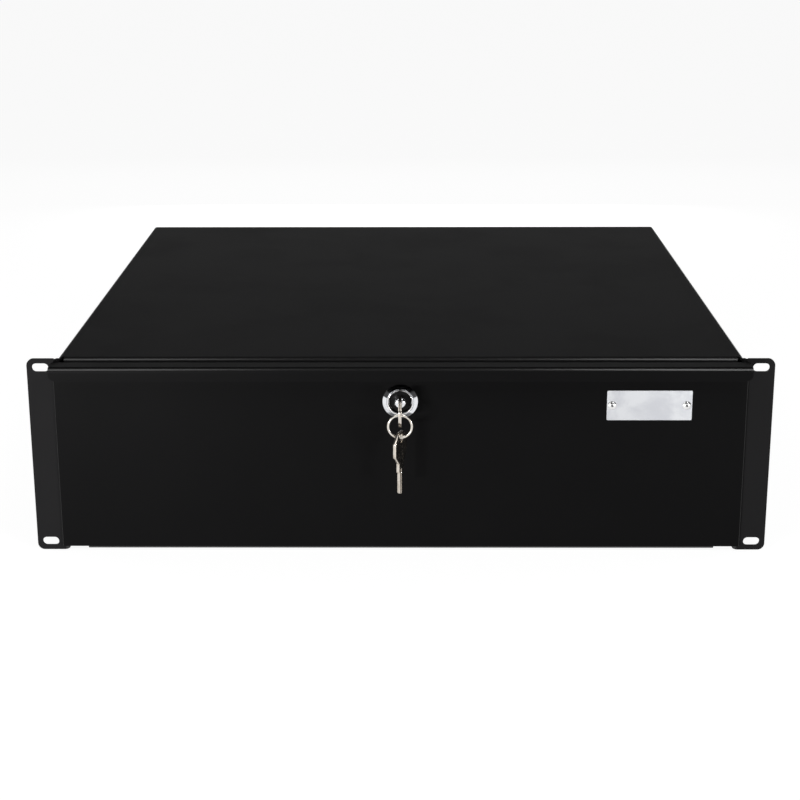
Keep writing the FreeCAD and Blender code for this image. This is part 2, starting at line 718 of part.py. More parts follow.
def drawer_tray():
    """Floor and side walls of the tray, with a hemmed top edge and a flange behind the front panel."""
    half = tray_sheet / 2
    x, floor, top = tray_half_width - half, tray_bottom + half, tray_top - half
    edge = tray_half_width - tray_top_return
    body_front = panel_back + tray_bend_outer + flange_relief
    section = [(-edge, top), (-x, top), (-x, floor), (x, floor), (x, top), (edge, top)]
    tray = bent_sheet("XZ", section, tray_sheet, tray_bend, body_front, tray_back)
    floor_edge = tray_half_width - tray_bend_outer
    tongue_front = panel_back + panel_bend + fit_gap
    tray = tray.fuse(block((-floor_edge, floor_edge), (tongue_front, body_front),
                           (tray_bottom, tray_bottom + tray_sheet)))
    for side in (-1, 1):
        flange = bent_sheet("XY", [(side * x, body_front), (side * x, panel_back + half),
                                   (side * (tray_half_width - tray_front_flange), panel_back + half)],
                            tray_sheet, tray_bend, tray_bottom + tray_bend_outer, tray_top - tray_bend_outer)
        tray = tray.fuse(flange)
        inside = side * (tray_half_width - tray_sheet - 1)
        cuts = [rod(rivet_radius + hole_clearance, (inside, y, z), (side, 0, 0), tray_sheet + 2)
                for y, z in tray_rivet_places()]
        cuts += [rod(screw_radius + wall_hole_clearance, (inside, y, slide_z), (side, 0, 0), tray_sheet + 2)
                 for y in tray_screw_places()]
        tray = tray.cut(cuts)
    cuts = [rod(screw_radius + wall_hole_clearance, (x, panel_back - 1, z), (0, 1, 0), tray_sheet + 2)
            for x, z in stud_places()]
    cuts += [rod(rivet_radius + hole_clearance, (x, y, tray_bottom - 1), (0, 0, 1), 4)
             for x, y in floor_rivet_places()]
    return one(tray.cut(cuts))


def tray_back_wall():
    """The tray's back wall, with a flange against each side."""
    half = tray_sheet / 2
    inner = tray_half_width - tray_sheet
    x, y, front = inner - half, tray_back - half, tray_back - tray_back_flange
    low, high = tray_bottom + tray_sheet, tray_top - tray_sheet
    wall = bent_sheet("XY", [(-x, front), (-x, y), (x, y), (x, front)], tray_sheet, tray_bend, low, high)
    radius = tray_bend + fit_gap
    inside = [(-inner, low, radius), (inner, low, radius), (inner, high, radius), (-inner, high, radius)]
    wall = wall.common(plate("XZ", inside, front - 1, tray_back + 1))
    holes = [rod(rivet_radius + hole_clearance, (side * (inner - 4), y, z), (side, 0, 0), 8)
             for side in (-1, 1) for y, z in tray_rivet_places()]
    return one(wall.cut(holes))


def tray_rivets():
    grip = 2 * tray_sheet
    return [blind_rivet((tray_half_width, y, z), (-1, 0, 0), grip) for y, z in tray_rivet_places()]


def floor_rivets():
    grip = panel_sheet + tray_sheet
    return [blind_rivet((x, y, panel_bottom), (0, 0, 1), grip) for x, y in floor_rivet_places()]


def tray_slide_screws():
    x = tray_half_width - tray_sheet
    return [pan_screw((x, y, slide_z), (1, 0, 0), tray_sheet + slide_sheet) for y in tray_screw_places()]


def panel_studs():
    return [rod(screw_radius, (x, panel_back, z), (0, 1, 0), stud_length) for x, z in stud_places()]


def panel_nuts():
    seat = panel_back + tray_sheet
    return [hexagon(nut_flats, (x, seat, z), nut_thickness, screw_radius + hole_clearance)
            for x, z in stud_places()]


# ---------------------------------------------------------------- nameplate
def plate_rivet_places():
    return [plate_centre_x + side * (plate_width / 2 - plate_rivet_inset) for side in (-1, 1)]


def nameplate():
    x, z = plate_width / 2, plate_height / 2
    corners = [(plate_centre_x + a, plate_z + b, 0.8) for a, b in ((-x, -z), (x, -z), (x, z), (-x, z))]
    body = plate("XZ", corners, panel_front - plate_thickness, panel_front)
    return one(body.cut([rod(rivet_radius + hole_clearance, (px, panel_front - 2, plate_z), (0, 1, 0), 4)
                         for px in plate_rivet_places()]))


def nameplate_rivets():
    grip = plate_thickness + panel_sheet
    return [blind_rivet((x, panel_front - plate_thickness, plate_z), (0, 1, 0), grip, plate_rivet_head)
            for x in plate_rivet_places()]


# ---------------------------------------------------------------- lock
def lock_barrel():
    """The fixed barrel of the cam lock with its bezel, flat on two sides so that it can't turn."""
    rim = lock_bezel_height
    edge, inner = lock_bezel_radius, lock_recess_radius
    shape = turned(
        (lock_barrel_length, lock_bore_radius),
        [(lock_barrel_length, lock_barrel_radius), (0, lock_barrel_radius), (0, edge),
         (-rim * 0.2, edge), (-rim * 0.93, inner + 1.5), (-rim * 0.78, inner + 1.25),
         (-rim * 0.78, inner + 1.05), ((-rim, inner + 0.55), (-rim * 0.78, inner + 0.05)),
         (-rim * 0.6, inner), (lock_recess_depth, inner), (lock_recess_depth, lock_bore_radius)],
        (0, panel_front, lock_z), (0, 1, 0))
    far = lock_barrel_radius + 2
    flats = [block((side * lock_flat, side * far), (panel_front, barrel_back + 1),
                   (lock_z - far, lock_z + far)) for side in (-1, 1)]
    return one(shape.cut(flats))


def keyway():
    x = key_thickness / 2 + key_clearance
    z = key_blade_width / 2 + key_clearance
    return block((-x, x), (nose_front - 1, key_start() + key_length() + 0.6), (lock_z - z, lock_z + z))


def lock_plug():
    """The turning core: a round nose with the keyway, and a square end for the cam."""
    radius = lock_bore_radius - running_clearance
    end = cam_front - panel_front
    shape = turned(
        (-nose_reach, 0),
        [(-nose_reach, nose_radius * 0.55),
         ((-nose_reach + 0.55, nose_radius * 0.86), (-nose_reach + 1.9, nose_radius)),
         (lock_recess_depth, nose_radius), (lock_recess_depth, radius), (end, radius), (end, 0)],
        (0, panel_front, lock_z), (0, 1, 0))
    half = cam_square / 2
    square = block((-half, half), (cam_front, cam_back - 2 * running_clearance),
                   (lock_z - half, lock_z + half))
    bore = rod(screw_radius + hole_clearance, (0, cam_back, lock_z), (0, -1, 0), cam_screw_length() + 0.3)
    return one(shape.fuse(square).cut([keyway(), bore]))


def cam_screw_length():
    return cam_thickness + 4.0


def plug_collar():
    """The dark ring round the nose, at the bottom of the bezel's recess."""
    inner, outer = nose_radius + 0.02, lock_recess_radius - 2 * running_clearance
    back = lock_recess_depth - running_clearance
    front = back - collar_height
    return turned((back, inner), [(back, outer), (front + 0.4, outer), (front, outer - 0.4), (front, inner)],
                  (0, panel_front, lock_z), (0, 1, 0))


def lock_cam():
    """The flat tongue on the plug's square end, pointing to the left when the lock is open."""
    half, reach = cam_width / 2, cam_reach
    tip = half * 0.72
    corners = [(half, lock_z - half, half * 0.9), (half, lock_z + half, half * 0.9),
               (-half, lock_z + half, 3), (-reach, lock_z + tip, 2.5), (-reach, lock_z - tip, 2.5),
               (-half, lock_z - half, 3)]
    body = plate("XZ", corners, cam_front, cam_back)
    hole = cam_square / 2 + hole_clearance
    return one(body.cut(block((-hole, hole), (cam_front - 1, cam_back + 1), (lock_z - hole, lock_z + hole))))


def lock_nut():
    return hexagon(2 * (lock_barrel_radius + lock_nut_wall), (0, panel_back, lock_z), lock_nut_thickness,
                   lock_barrel_radius + hole_clearance)


# ---------------------------------------------------------------- keys
def key_length():
    return key_bow_length + key_neck_length + key_blade_length


def key_start():
    """The place on the Y axis of the inserted key's outer end."""
    return nose_front - key_stop_gap - key_neck_length - key_bow_length


def key_blank():
    """A key lying along +Y from its outer end at the origin, with its bow's width along Z."""
    end, bow, neck, blade = key_end_width / 2, key_bow_width / 2, key_neck_width / 2, key_blade_width / 2
    neck_start = key_bow_length
    blade_start = neck_start + key_neck_length
    tip = key_length()
    half = [(0, end, end * 0.8), (key_shoulder, bow, 2.0), (neck_start - key_bow_taper, bow, 3.0),
            (neck_start, neck, 1.0), (blade_start, neck, 0.4), (blade_start, blade, 0),
            (tip - 1.3, blade, 0), (tip, blade * 0.45, 0)]
    other = [(y, -z, radius) for y, z, radius in reversed(half)]
    cuts = []
    for n, depth in enumerate(key_cut_depths):
        y = blade_start + key_cut_start + key_cut_pitch * n
        cuts += [(y, blade, 0), (y + 0.7, blade - depth, 0), (y + 1.2, blade - depth, 0), (y + 1.9, blade, 0)]
    corners = half[:6] + cuts + half[6:] + other
    thick = key_thickness / 2
    body = plate("YZ", corners, -thick, thick)
    hole = rod(key_hole_radius, (-5, key_hole_inset, 0), (1, 0, 0), 10)
    groove = block((thick - key_groove_depth, thick + 1), (blade_start - 2, tip + 1), (-blade * 0.55, 0.1))
    return one(body.cut([hole, groove]))


def placed(solid, turns, move):
    """A copy turned about axes through the origin, in order, and then moved."""
    solid = solid.copy()
    for axis, degrees in turns:
        solid.rotate(Vector(0, 0, 0), Vector(*axis), degrees)
    solid.translate(Vector(*move))
    return solid


def ring_top():
    """Centre of the ring's wire where it goes through the inserted key."""
    return 0, key_start() + key_hole_inset, lock_z - ring_seat_offset


def inserted_key():
    return placed(key_blank(), [], (0, key_start(), lock_z))


def key_ring():
    x, y, z = ring_top()
    return Part.makeTorus(ring_radius, ring_wire_radius, Vector(x, y, z - ring_radius), Vector(0, 1, 0))


def spare_key():
    """The second key, hanging blade down in the ring."""
    x, y, z = ring_top()
    hole_z = z - 2 * ring_radius - ring_seat_offset
    hanging = [((1, 0, 0), -90), ((0, 0, 1), spare_key_turn - 90)]
    return placed(key_blank(), hanging, (x, y, hole_z + key_hole_inset))


# ---------------------------------------------------------------- the whole drawer
def build():
    os.makedirs("parts", exist_ok=True)
    save("housing_shell", housing_shell())
    save("rear_panel", rear_panel())
    rear = [blind_rivet((wall_outer, y, z), (-1, 0, 0), 2 * housing_sheet) for y, z in rear_rivet_places()]
    save("rear_panel_rivets", both_sides(rear))
    save("lock_strike", lock_strike())
    save("housing_slide_screws", both_sides(housing_slide_screws()))
    save("slide_bumpers", both_sides([slide_bumper()]))

    outer_cage_edge = outer_lip_u - slide_sheet / 2 - 2 * cage_gap
    inner_cage_edge = middle_lip_u - slide_sheet / 2 - 2 * cage_gap
    slide_pieces = {
        "outer_member": [outer_member()],
        "intermediate_member": [middle_member()],
        "inner_member": [inner_member()],
        "outer_ball_cage": [ball_cage(outer_row_v, outer_cage_u, outer_cage_edge)],
        "outer_balls": balls(outer_row_v),
        "inner_ball_cage": [ball_cage(inner_row_v, inner_cage_u, inner_cage_edge)],
        "inner_balls": balls(inner_row_v),
        "release_lever": [release_lever()],
    }
    for name, solids in slide_pieces.items():
        save(name + "_right", solids)
        save(name + "_left", mirrored(solids))
    save("lever_pivots", both_sides([lever_pivot()]))

    save("drawer_front", drawer_front())
    save("drawer_tray", drawer_tray())
    save("tray_back_wall", tray_back_wall())
    save("tray_rivets", both_sides(tray_rivets()))
    save("floor_rivets", floor_rivets())
    save("tray_slide_screws", both_sides(tray_slide_screws()))
    save("panel_studs", panel_studs())
    save("panel_nuts", panel_nuts())
    save("nameplate", nameplate())
    save("nameplate_rivets", nameplate_rivets())

    save("lock_barrel", lock_barrel())
    save("lock_nut", lock_nut())
    save("lock_plug", lock_plug())
    save("plug_collar", plug_collar())
    save("lock_cam", lock_cam())
    save("cam_screw", pan_screw((0, cam_back, lock_z), (0, -1, 0), cam_screw_length()))
    save("key", inserted_key())
    save("key_ring", key_ring())
    save("spare_key", spare_key())


build()
for name, solids in written.items():
    bounds = Part.makeCompound(solids).BoundBox
    size = f"{bounds.XLength:.1f} x {bounds.YLength:.1f} x {bounds.ZLength:.1f} mm"
    print(f"{name:26} {len(solids)} solids, {size}")
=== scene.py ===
# %% [markdown]
# # A lockable sliding drawer for an equipment rack
# The drawer is a folded steel tray that runs on two ball-bearing slides inside a folded steel housing.
# Its metalwork comes ready-made as the fixed frame, one mesh for each piece, in metres, with each mesh
# already in its place. What is left is the finish: the powder coat, the platings, the screws'
# recesses, the stubs in the rivets, the key ring, the stamping of the keys and the small marks of
# use. Lamps, a floor and a camera then show it.

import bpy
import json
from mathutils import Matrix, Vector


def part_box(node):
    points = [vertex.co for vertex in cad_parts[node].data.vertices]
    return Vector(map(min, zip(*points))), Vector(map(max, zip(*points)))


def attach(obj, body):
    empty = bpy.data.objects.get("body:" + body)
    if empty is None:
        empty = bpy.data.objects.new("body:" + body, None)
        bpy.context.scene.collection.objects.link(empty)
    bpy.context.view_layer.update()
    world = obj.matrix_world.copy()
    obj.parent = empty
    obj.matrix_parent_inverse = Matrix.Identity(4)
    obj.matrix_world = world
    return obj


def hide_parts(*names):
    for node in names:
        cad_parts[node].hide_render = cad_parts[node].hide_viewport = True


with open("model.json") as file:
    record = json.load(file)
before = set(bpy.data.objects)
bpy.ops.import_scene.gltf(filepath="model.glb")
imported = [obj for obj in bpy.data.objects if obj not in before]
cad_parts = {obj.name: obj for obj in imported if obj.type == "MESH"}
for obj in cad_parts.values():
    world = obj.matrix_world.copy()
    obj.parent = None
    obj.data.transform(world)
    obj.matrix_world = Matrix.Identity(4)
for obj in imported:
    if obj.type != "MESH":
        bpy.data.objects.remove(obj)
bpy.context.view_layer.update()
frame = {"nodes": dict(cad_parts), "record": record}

# %% Modules and units
import json
import math

import bmesh
import bpy
from mathutils import Matrix, Vector

MM = 0.001

# %% [markdown]
# ## Places on the drawer
# New pieces take their places from the frame's boxes, so they still fit after a change of size. A box
# has a lowest and a highest corner. One frame piece can hold several loose parts, such as the screws
# of a set, and then the box of each part is wanted. Walking along a mesh's edges tells them apart.

# %% Places read from the frame
MERGE_DISTANCE = 0.001 * MM


def separate_boxes(node):
    """The lowest and highest corner of each loose part of a frame piece."""
    mesh = bmesh.new()
    mesh.from_mesh(frame["nodes"][node].data)
    bmesh.ops.remove_doubles(mesh, verts=mesh.verts, dist=MERGE_DISTANCE)
    boxes, seen = [], set()
    for first in mesh.verts:
        if first in seen:
            continue
        part, to_visit = {first}, [first]
        while to_visit:
            for edge in to_visit.pop().link_edges:
                for vert in edge.verts:
                    if vert not in part:
                        part.add(vert)
                        to_visit.append(vert)
        seen |= part
        corners = [vert.co for vert in part]
        low = Vector(min(corner[axis] for corner in corners) for axis in range(3))
        high = Vector(max(corner[axis] for corner in corners) for axis in range(3))
        boxes.append((low, high))
    mesh.free()
    return boxes


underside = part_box("housing_shell")[0].z
print("the housing stands at z =", round(underside, 5))

# %% [markdown]
# ## Materials from shared node groups
# Each effect that several finishes share is a node group with named sockets: the fine orange peel of
# powder coat, the grain of brushed metal, the rubbed edges with their painted highlight and the marks
# that hands leave. The group is built once, and each material gives it its own values. The shader
# stays in the material.

# %% Helpers that build node trees
FLOAT, VECTOR = "NodeSocketFloat", "NodeSocketVector"


def start_group(name, inputs, output):
    """A new node group with these inputs and one output: the tree, and its two end nodes."""
    group = bpy.data.node_groups.new(name, "ShaderNodeTree")
    for label, kind, value in inputs:
        socket = group.interface.new_socket(label, in_out="INPUT", socket_type=kind)
        if value is not None:
            socket.default_value = value
    group.interface.new_socket(output, in_out="OUTPUT", socket_type=FLOAT)
    return group, group.nodes.new("NodeGroupInput").outputs, group.nodes.new("NodeGroupOutput")


def add(tree, kind, **settings):
    """A node with its properties set by name, and its sockets by their labels."""
    node = tree.nodes.new("ShaderNode" + kind)
    for name, value in settings.items():
        if hasattr(node, name):
            setattr(node, name, value)
        else:
            node.inputs[name.replace("_", " ").title()].default_value = value
    return node


def feed(tree, value, socket):
    """Fill a socket with a link from another socket, or else with a plain value."""
    if isinstance(value, bpy.types.NodeSocket):
        tree.links.new(value, socket)
    else:
        socket.default_value = value


def calculate(tree, operation, first, second, clamp=False):
    """The result of a Math node on two numbers or sockets."""
    node = add(tree, "Math", operation=operation, use_clamp=clamp)
    feed(tree, first, node.inputs[0])
    feed(tree, second, node.inputs[1])
    return node.outputs[0]


def noise(tree, place, scale, **settings):
    """A noise with this many features in a metre."""
    node = add(tree, "TexNoise", **settings)
    feed(tree, place, node.inputs["Vector"])
    feed(tree, scale, node.inputs["Scale"])
    return node.outputs["Fac"]


def ramp(tree, value, **ends):
    """A value moved from one range to another, and kept inside it."""
    node = add(tree, "MapRange", clamp=True, **ends)
    feed(tree, value, node.inputs["Value"])
    return node.outputs["Result"]


# %% [markdown]
# ### Orange peel
# Powder melts into a skin that isn't quite flat. Up close it has soft dimples about a millimetre apart,
# with a finer grain in them. Two noises of different size, mixed together, give both. A third, far
# wider noise is the faint cloudiness of the colour.

# %% Orange peel group
GRAIN_IS_FINER = 4.3
GRAIN_SHARE = 0.35
CLOUD_IS_FINER = 0.02


def orange_peel_group():
    group, given, result = start_group(
        "Orange Peel", [("Vector", VECTOR, None), ("Dimple Size", FLOAT, 1.2 * MM)], "Height")
    group.interface.new_socket("Cloud", in_out="OUTPUT", socket_type=FLOAT)
    place = given["Vector"]
    per_metre = calculate(group, "DIVIDE", 1, given["Dimple Size"])
    finer = calculate(group, "MULTIPLY", per_metre, GRAIN_IS_FINER)
    wider = calculate(group, "MULTIPLY", per_metre, CLOUD_IS_FINER)
    height = add(group, "Mix", data_type="FLOAT")
    height.inputs["Factor"].default_value = GRAIN_SHARE
    feed(group, noise(group, place, per_metre, detail=1.5, roughness=0.5), height.inputs["A"])
    feed(group, noise(group, place, finer, detail=1.0, roughness=0.6), height.inputs["B"])
    feed(group, height.outputs["Result"], result.inputs["Height"])
    feed(group, noise(group, place, wider, detail=3.0, roughness=0.55), result.inputs["Cloud"])
    return group


orange_peel = orange_peel_group()
print("made", orange_peel.name)

# %% [markdown]
# ### Rubbed edges and painted edge highlights
# Paint is thinnest on a sharp edge, and hands and tools polish it there first. The same mask also
# lightens the colour along every edge as a painted highlight. A Bevel node gives the normal that a
# slightly rounder edge would have. Where that differs from the true normal there is an edge, so the
# angle between the two is the mask. A noise breaks the mask up into patches.

# %% Rubbed edge and painted highlight group
PATCHES_PER_METRE = 180.0


def edge_wear_and_highlight_group():
    group, given, result = start_group(
        "Edge Wear And Highlight",
        [("Vector", VECTOR, None), ("Width", FLOAT, 0.5 * MM), ("Gain", FLOAT, 3.0),
         ("Breakup", FLOAT, 0.5)],
        "Edge")
    bevel = add(group, "Bevel", samples=4)
    feed(group, given["Width"], bevel.inputs["Radius"])
    same = add(group, "VectorMath", operation="DOT_PRODUCT")
    feed(group, bevel.outputs["Normal"], same.inputs[0])
    feed(group, add(group, "NewGeometry").outputs["Normal"], same.inputs[1])
    apart = calculate(group, "SUBTRACT", 1, same.outputs["Value"])
    gain = calculate(group, "MULTIPLY", apart, given["Gain"], clamp=True)
    patches = add(group, "Mix", data_type="FLOAT")
    patches.inputs["A"].default_value = 1
    feed(group, given["Breakup"], patches.inputs["Factor"])
    feed(group, noise(group, given["Vector"], PATCHES_PER_METRE, detail=3.0), patches.inputs["B"])
    edge = calculate(group, "MULTIPLY", gain, patches.outputs["Result"], clamp=True)
    feed(group, edge, result.inputs["Edge"])
    return group


edge_wear_and_highlight = edge_wear_and_highlight_group()
print("made", edge_wear_and_highlight.name)

# %% [markdown]
# ### Polished folds
# The coat is glossiest where the sheet is folded, because the powder thins and levels out on the curve.
# All the walls face along an axis, so one part of their normal is 1. On a fold the largest part is less
# than 1, which makes a mask that finds every fold and leaves every wall alone.

# %% Polished fold group
FOLD_STARTS, FOLD_IS_FULL = 0.995, 0.86


def polished_fold_group():
    group, given, result = start_group("Polished Fold", [("Normal", VECTOR, None)], "Fold")
    size = add(group, "VectorMath", operation="ABSOLUTE")
    feed(group, given["Normal"], size.inputs[0])
    parts = add(group, "SeparateXYZ")
    feed(group, size.outputs["Vector"], parts.inputs[0])
    largest = parts.outputs["X"]
    for axis in "YZ":
        largest = calculate(group, "MAXIMUM", largest, parts.outputs[axis])
    fold = ramp(group, largest, interpolation_type="SMOOTHSTEP", from_min=FOLD_STARTS,
                from_max=FOLD_IS_FULL)
    feed(group, fold, result.inputs["Fold"])
    return group


polished_fold = polished_fold_group()
print("made", polished_fold.name)

# %% [markdown]
# ### Brushed grain
# Rolled and brushed metal has fine lines that all run one way. A noise whose coordinates are squeezed
# across the lines and stretched along them draws such lines.

# %% Brushed grain group
def brushed_grain_group():
    group, given, result = start_group(
        "Brushed Grain", [("Vector", VECTOR, None), ("Lines", VECTOR, (40, 3000, 3000))], "Line")
    squeeze = add(group, "VectorMath", operation="MULTIPLY")
    feed(group, given["Vector"], squeeze.inputs[0])
    feed(group, given["Lines"], squeeze.inputs[1])
    lines = noise(group, squeeze.outputs["Vector"], 1.0, detail=3.0, roughness=0.65)
    feed(group, ramp(group, lines, from_min=0.3, from_max=0.7), result.inputs["Line"])
    return group


brushed_grain = brushed_grain_group()
print("made", brushed_grain.name)

# %% [markdown]
# ### Marks of handling
# Fingers leave soft dull patches. They change how rough the surface looks far more than its colour. A
# noise with a little distortion, taken only where it is high, gives patches with soft borders.

# %% Handling marks group
PATCH_STARTS, PATCH_IS_FULL = 0.42, 0.68


def handling_group():
    group, given, result = start_group(
        "Handling Marks", [("Vector", VECTOR, None), ("Patch Size", FLOAT, 40 * MM)], "Patch")
    per_metre = calculate(group, "DIVIDE", 1, given["Patch Size"])
    cloud = noise(group, given["Vector"], per_metre, detail=4.0, roughness=0.6, distortion=0.4)
    patch = ramp(group, cloud, interpolation_type="SMOOTHSTEP", from_min=PATCH_STARTS,
                 from_max=PATCH_IS_FULL)
    feed(group, patch, result.inputs["Patch"])
    return group


handling = handling_group()
print("made", handling.name)

# %% [markdown]
# ### Helpers that every finish uses
# A finish starts with a Principled shader and the piece's Object coordinates. A value that is the same
# all over is set on the shader's own socket. A value that changes over the surface is a Map Range from
# a mask to a low and a high end, and a colour that changes is a Mix.

# %% Start a finish and vary its sockets
finishes = {}


def start_material(slot, **uniform):
    """The finish for one slot: its tree, its shader with the plain sockets set, and its coordinates."""
    material = bpy.data.materials.new(slot + "_finish")
    finishes[slot] = material
    material.use_nodes = True
    tree = material.node_tree
    shader = tree.nodes["Principled BSDF"]
    for label, value in uniform.items():
        shader.inputs[label.replace("_", " ")].default_value = value
    return tree, shader, add(tree, "TexCoord").outputs


def use_group(tree, group, place, label="Vector", **values):
    """The outputs of a group node with its own values. It reads the piece's coordinates."""
    node = tree.nodes.new("ShaderNodeGroup")
    node.node_tree = group
    feed(tree, place, node.inputs[label])
    for name, value in values.items():
        node.inputs[name.replace("_", " ")].default_value = value
    return node.outputs


def between(tree, mask, low, high):
    """A value that runs from low to high with a mask."""
    return ramp(tree, mask, to_min=low, to_max=high)


def blend_colours(tree, mask, first, second):
    """A colour that runs from the first to the second with a mask. Each is a colour or a socket."""
    node = add(tree, "Mix", data_type="RGBA")
    feed(tree, mask, node.inputs["Factor"])
    for number, colour in ((6, first), (7, second)):
        feed(tree, (*colour, 1) if isinstance(colour, tuple) else colour, node.inputs[number])
    return node.outputs[2]


def bump(tree, shader, height, depth, strength=1.0):
    """Small relief from a height, at most this deep."""
    node = add(tree, "Bump", strength=strength, distance=depth)
    feed(tree, height, node.inputs["Height"])
    feed(tree, node.outputs["Normal"], shader.inputs["Normal"])


# %% [markdown]
# ### Black powder coat
# The housing and the drawer are baked satin black. The colour is almost even: it clouds a little, the
# dimples break up its sheen, and its folded edges are rubbed a shade lighter, which also paints a
# highlight along them. The drawer's coat is given a blacker colour than the housing's, as painted
# shade, and it is a little smoother.

# %% Powder coat finish
# The colour of the rubbed edges, which also stands for a painted highlight along them.
COAT_RUBBED_AND_HIGHLIGHT = (0.018, 0.018, 0.019)
FOLD_ROUGHNESS = 0.24
CLOUD_IS_PALER = 1.25


def powder_coat(name, black, mirror, sheen, fold_gloss):
    tree, shader, place = start_material(name, Specular_IOR_Level=mirror,
                                         Coat_Roughness=FOLD_ROUGHNESS)
    peel = use_group(tree, orange_peel, place["Object"])
    marks = use_group(tree, handling, place["Object"], Patch_Size=70 * MM)
    edge = use_group(tree, edge_wear_and_highlight, place["Object"], Width=0.45 * MM, Gain=2.4, Breakup=0.4)
    fold = use_group(tree, polished_fold, place["Normal"], label="Normal")
    even = blend_colours(tree, peel["Cloud"], black, tuple(CLOUD_IS_PALER * part for part in black))
    # The edge mask lightens the colour: rubbed wear, and a painted highlight along every edge.
    feed(tree, blend_colours(tree, edge["Edge"], even, COAT_RUBBED_AND_HIGHLIGHT), shader.inputs["Base Color"])
    feed(tree, between(tree, marks["Patch"], *sheen), shader.inputs["Roughness"])
    feed(tree, between(tree, fold["Fold"], 0.0, fold_gloss), shader.inputs["Coat Weight"])
    bump(tree, shader, peel["Height"], 0.03 * MM, 0.6)


powder_coat("housing_powder_coat", black=(0.0130, 0.0127, 0.0132), mirror=0.041,
            sheen=(0.53, 0.555), fold_gloss=0.8)
# The drawer's black is darker than the housing's: painted shade.
powder_coat("drawer_powder_coat", black=(0.0052, 0.0051, 0.0053), mirror=0.026,
            sheen=(0.40, 0.425), fold_gloss=1.0)
print("made", list(finishes))

# %% [markdown]
# ### Zinc, steel and nickel
# The slides are rolled strip with bright zinc, so their grain runs along them. Screws, nuts and pins
# have the same zinc with no grain. The key metal is warmer, and it is dull where fingers hold it. Each
# metal runs from a clean to a dull colour, and from a smooth to a rough end.

# %% Metal finishes
GRAIN_DEPTH = 0.004 * MM
FINE = 3000                      # lines in a metre across the grain


def plated_metal(name, clean, dull, roughness, lines=None, patch=12 * MM):
    tree, shader, place = start_material(name, Metallic=1.0)
    marks = use_group(tree, handling, place["Object"], Patch_Size=patch)
    mask = marks["Patch"]
    feed(tree, blend_colours(tree, mask, clean, dull), shader.inputs["Base Color"])
    if lines:
        mask = use_group(tree, brushed_grain, place["Object"], Lines=lines)["Line"]
        bump(tree, shader, mask, GRAIN_DEPTH)
    feed(tree, between(tree, mask, *roughness), shader.inputs["Roughness"])


plated_metal("zinc_fasteners", (0.60, 0.61, 0.63), (0.50, 0.51, 0.53), (0.24, 0.36))
plated_metal("zinc_slide", (0.58, 0.60, 0.62), (0.48, 0.50, 0.52), (0.26, 0.40),
             lines=(FINE, 30, FINE), patch=60 * MM)
plated_metal("cage_steel", (0.44, 0.45, 0.46), (0.34, 0.35, 0.36), (0.30, 0.44),
             lines=(FINE, 40, FINE))
plated_metal("bearing_balls", (0.78, 0.78, 0.79), (0.70, 0.70, 0.71), (0.06, 0.14), patch=3 * MM)
plated_metal("cam_steel", (0.55, 0.55, 0.56), (0.44, 0.44, 0.45), (0.28, 0.42),
             lines=(60, FINE, FINE))
plated_metal("lock_chrome", (0.80, 0.81, 0.83), (0.72, 0.73, 0.75), (0.05, 0.13), patch=8 * MM)
plated_metal("key_nickel", (0.66, 0.61, 0.55), (0.46, 0.41, 0.35), (0.16, 0.34), patch=3 * MM)
plated_metal("ring_nickel", (0.74, 0.70, 0.64), (0.62, 0.57, 0.50), (0.10, 0.22), patch=4 * MM)
plated_metal("nameplate_rivets", (0.82, 0.82, 0.82), (0.70, 0.70, 0.70), (0.20, 0.34), patch=3 * MM)
plated_metal("nameplate_aluminium", (0.62, 0.63, 0.65), (0.52, 0.53, 0.56), (0.28, 0.42),
             lines=(60, FINE, 5000), patch=20 * MM)
print(len(finishes), "finishes so far")

# %% [markdown]
# ### Black screws, rubber and plastic
# Blackened screws keep a little sheen. The slide bumpers are dull rubber, and the release levers are
# moulded plastic with a fine spark-eroded texture. The ring round the lock's nose is given a near-black
# colour, darker than the coat. All four are the orange peel on a smaller scale.

# %% Dark finishes
def dark_finish(name, colour, paler, roughness, grain, depth, mirror):
    tree, shader, place = start_material(name, Specular_IOR_Level=mirror)
    peel = use_group(tree, orange_peel, place["Object"], Dimple_Size=grain)
    feed(tree, blend_colours(tree, peel["Cloud"], colour, paler), shader.inputs["Base Color"])
    feed(tree, between(tree, peel["Height"], *roughness), shader.inputs["Roughness"])
    bump(tree, shader, peel["Height"], depth, 0.5)


dark_finish("black_fasteners", (0.010, 0.010, 0.011), (0.018, 0.018, 0.019), (0.30, 0.44),
            grain=0.6 * MM, depth=0.01 * MM, mirror=0.4)
dark_finish("bumper_rubber", (0.016, 0.016, 0.016), (0.026, 0.026, 0.026), (0.62, 0.80),
            grain=0.9 * MM, depth=0.03 * MM, mirror=0.3)
dark_finish("lever_plastic", (0.014, 0.014, 0.015), (0.020, 0.020, 0.021), (0.36, 0.50),
            grain=0.4 * MM, depth=0.01 * MM, mirror=0.45)
# The ring round the lock's nose: near black, darker than the coat.
dark_finish("lock_black", (0.003, 0.003, 0.003), (0.006, 0.006, 0.006), (0.30, 0.42),
            grain=0.5 * MM, depth=0.01 * MM, mirror=0.10)
print(len(finishes), "finishes in all")

# %% [markdown]
# ## Dress the frame
# The record says which slot each frame piece takes its finish from. One loop dresses them all, and each
# mesh stays as it came.

# %% Give each frame piece its finish
for part in frame["record"]["subparts"]:
    frame["nodes"][part["node"]].material_slots[0].material = finishes[part["material_slot"]]
print(len(finishes), "finishes on", len(frame["nodes"]), "pieces")

# %% [markdown]
# ## Helpers for modelling by hand
# Operators act on all that is selected, and loading the frame leaves its pieces selected. So each new
# piece starts from an empty selection, and faces and edges are then picked by their place or normal.

# %% Selecting, adding modifiers and finishing
def object_mode():
    if bpy.context.mode != "OBJECT":
        bpy.ops.object.mode_set(mode="OBJECT")


def start_piece():
    object_mode()
    bpy.ops.object.select_all(action="DESELECT")


